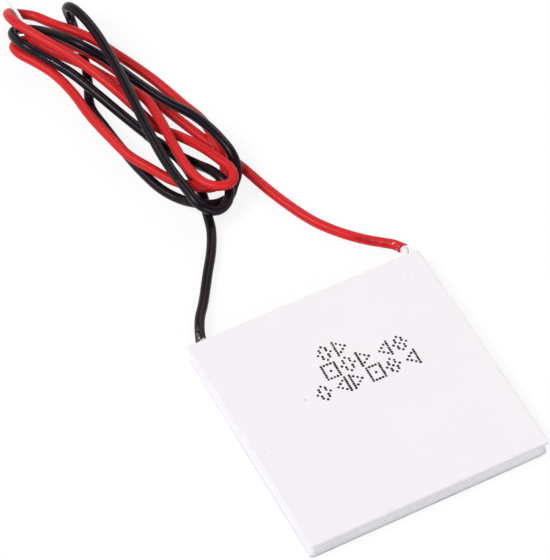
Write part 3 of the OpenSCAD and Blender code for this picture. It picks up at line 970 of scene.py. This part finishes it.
upper_plate = build_plate("upper_plate_body", UPPER_Z, TOP_Z, 0.02, 0.07, UPPER_CHIPS, 0.0)
lower_plate = build_plate("lower_plate_body", 0.0, PLATE_T, 0.04, 0.02, LOWER_CHIPS, 2.3)
bead = build_bead()
DOT_TREE = make_dot_tree()
mark = run_nodes("plain_dot_mark", mark_points(), DOT_TREE, {
    "Dot Radius": 0.225 * MM, "Drift": 0.02 * MM, "Rise": 0.008 * MM, "Seed": 4, "Finish": INK}, INK)
SPECKS = [(16.21, 16.4), (-18.49, -2.23), (-8.75, 3.18)]
speck_points = [(x * MM, y * MM, (TOP_Z + 0.003) * MM) for x, y in SPECKS]
specks = run_nodes("plate_specks", speck_points, DOT_TREE, {
    "Dot Radius": 0.17 * MM, "Drift": 0.0, "Rise": 0.006 * MM, "Seed": 2, "Finish": SPECK}, SPECK)

# What each piece stands for and takes its finish from
STANDS_FOR = [
    (red_lead, "red_lead_insulation", "red_insulation"),
    (black_lead, "black_lead_insulation", "black_insulation"),
    (red_tip, "red_lead_tip", "tinned_wire"),
    (black_tip, "black_lead_tip", "tinned_wire"),
    (red_strands, "red_lead_stripped_end", "tinned_wire"),
    (black_strands, "black_lead_stripped_end", "tinned_wire"),
    (red_dab, "red_lead_sealant", "sealant"),
    (black_dab, "black_lead_sealant", "sealant"),
    (upper_plate, "upper_ceramic_plate", "ceramic"),
    (lower_plate, "lower_ceramic_plate", "ceramic"),
    (bead, "edge_sealant", "sealant"),
]
for piece, node, finish in STANDS_FOR:
    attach(piece, "root")
    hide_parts(node)
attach(mark, "root")
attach(specks, "root")

# Solids that keep their own shape get the finish of what they are made of
NODE_FINISH = {
    "lower_copper_tabs": COPPER, "upper_copper_tabs": COPPER,
    "black_terminal_tab": COPPER, "red_terminal_tab": COPPER,
    "p_type_legs": P_INGOT, "n_type_legs": N_INGOT,
    "black_solder_joint": SOLDER, "red_solder_joint": SOLDER,
}
for node, finish in NODE_FINISH.items():
    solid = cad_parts[node]
    solid.data.materials.clear()
    solid.data.materials.append(finish)


# Pale floor, soft light and a white surround
def seen_by_eye(tree):
    """1 for rays that show the surround to the camera, straight, mirrored or through glass."""
    rays = put(tree, "ShaderNodeLightPath")
    seen = maths(tree, "ADD", rays.outputs["Is Camera Ray"], rays.outputs["Is Glossy Ray"])
    return maths(tree, "ADD", seen, rays.outputs["Is Transmission Ray"])


def add_floor():
    half = 3.0
    drop = 0.02 * MM
    corners = [(-half, -half, 0), (half, -half, 0), (half, half, 0), (-half, half, 0)]
    mesh = bpy.data.meshes.new("floor")
    mesh.from_pydata(corners, [], [(0, 1, 2, 3)])
    mesh.transform(Matrix.Translation((0, 0, -drop)))
    material, tree, shader = new_material("pale_floor")
    seen = seen_by_eye(tree)
    feed(tree, shader, Base_Color=blend_colours(tree, seen, (0.8, 0.79, 0.85, 1), (0.14, 0.14, 0.14, 1)),
         Emission_Strength=spread(tree, seen, 0.0, 1.0, 0.0, 0.86))
    shader.inputs["Emission Color"].default_value = (1, 1, 1, 1)
    shader.inputs["Roughness"].default_value = 0.9
    shader.inputs["Specular IOR Level"].default_value = 0.0
    mesh.materials.append(material)
    floor = bpy.data.objects.new("floor", mesh)
    bpy.context.collection.objects.link(floor)


def add_sun(name, towards, strength, width):
    data = bpy.data.lights.new(name, "SUN")
    data.energy = strength
    data.angle = math.radians(width)
    lamp = bpy.data.objects.new(name, data)
    lamp.rotation_mode = "QUATERNION"
    lamp.rotation_quaternion = Vector(towards).to_track_quat("-Z", "Y")
    bpy.context.collection.objects.link(lamp)


def add_world():
    """White at the sides and darker overhead to the eye, and a weak cool fill for the surfaces."""
    world = bpy.data.worlds.new("white_surround")
    bpy.context.scene.world = world
    world.use_nodes = True
    tree = world.node_tree
    ground = tree.nodes["Background"]
    seen = seen_by_eye(tree)
    way = put(tree, "ShaderNodeTexCoord").outputs["Generated"]
    height = feed(tree, put(tree, "ShaderNodeSeparateXYZ"), Vector=way).outputs[2]
    shown = spread(tree, height, 0.35, 0.8, 1.0, 0.12)
    fill = maths(tree, "MULTIPLY", maths(tree, "SUBTRACT", 1.0, seen), 0.18)
    strength = maths(tree, "ADD", maths(tree, "MULTIPLY", seen, shown), fill)
    feed(tree, ground, Color=blend_colours(tree, seen, (0.97, 0.96, 1, 1), (1, 1, 1, 1)), Strength=strength)


add_floor()
add_sun("key_sun", towards=(0.62, -0.1, -0.8), strength=2.24, width=28)
add_sun("back_sun", towards=(-0.5, -0.5, -0.7), strength=0.75, width=40)
add_sun("front_sun", towards=(0.1, 0.9, -0.45), strength=0.8, width=40)
add_world()
bpy.context.scene.view_settings.view_transform = "Standard"
